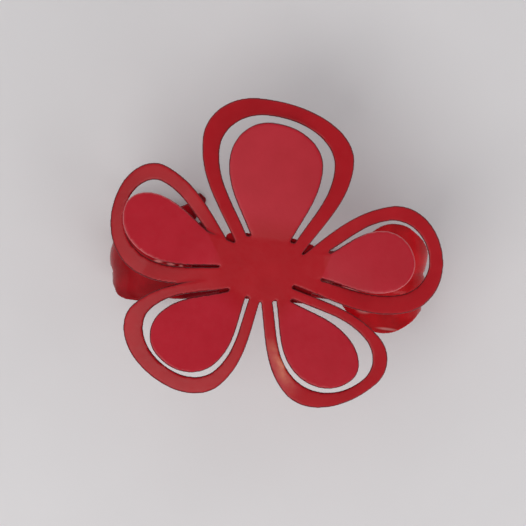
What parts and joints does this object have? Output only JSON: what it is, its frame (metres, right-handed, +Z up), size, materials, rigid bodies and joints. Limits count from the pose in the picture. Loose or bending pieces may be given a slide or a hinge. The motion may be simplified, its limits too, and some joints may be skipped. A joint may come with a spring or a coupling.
{
  "type": "flower hair clip",
  "caption": "Enamelled sheet-metal flower with open-ringed petals, carried above a small sprung claw whose two toothed jaws open on one hinge pin.",
  "frame": {"origin": "on the surface that the clip stands on, under the middle of its bounding box", "axes": "+Z up, from the teeth to the flower; +X along the claw's long side; +Y along the hinge pin"},
  "size_m": [0.0674, 0.0602, 0.0405],
  "materials": {
    "flower_enamel": "satin red enamel on stamped steel sheet",
    "claw_enamel": "glossy red enamel on formed steel sheet",
    "spring_steel": "bright drawn steel wire and turned pin"
  },
  "bodies": {
    "flower_and_pin": {"flower": "flower_enamel", "flower_bracket": "claw_enamel", "hinge_pin": "spring_steel", "torsion_spring": "spring_steel"},
    "left_jaw_body": {"left_jaw": "claw_enamel"},
    "right_jaw_body": {"right_jaw": "claw_enamel"}
  },
  "joints": [
    {"name": "right_jaw_hinge", "type": "hinge", "parent": "flower_and_pin", "child": "right_jaw_body", "pos_m": [-0.00108, -0.00317, 0.02596], "axis": [0, -1, 0], "range_deg": [0, 20], "stiffness_Nm_per_rad": 0.04, "springref_deg": -40.11, "deforming": ["torsion_spring"]},
    {"name": "left_jaw_hinge", "type": "hinge", "parent": "flower_and_pin", "child": "left_jaw_body", "pos_m": [-0.00108, -0.00317, 0.02596], "axis": [0, 1, 0], "range_deg": [0, 20], "stiffness_Nm_per_rad": 0.04, "springref_deg": -40.11}
  ],
  "couplings": [
    {"joint": "left_jaw_hinge", "follows": "right_jaw_hinge", "ratio": 1}
  ]
}
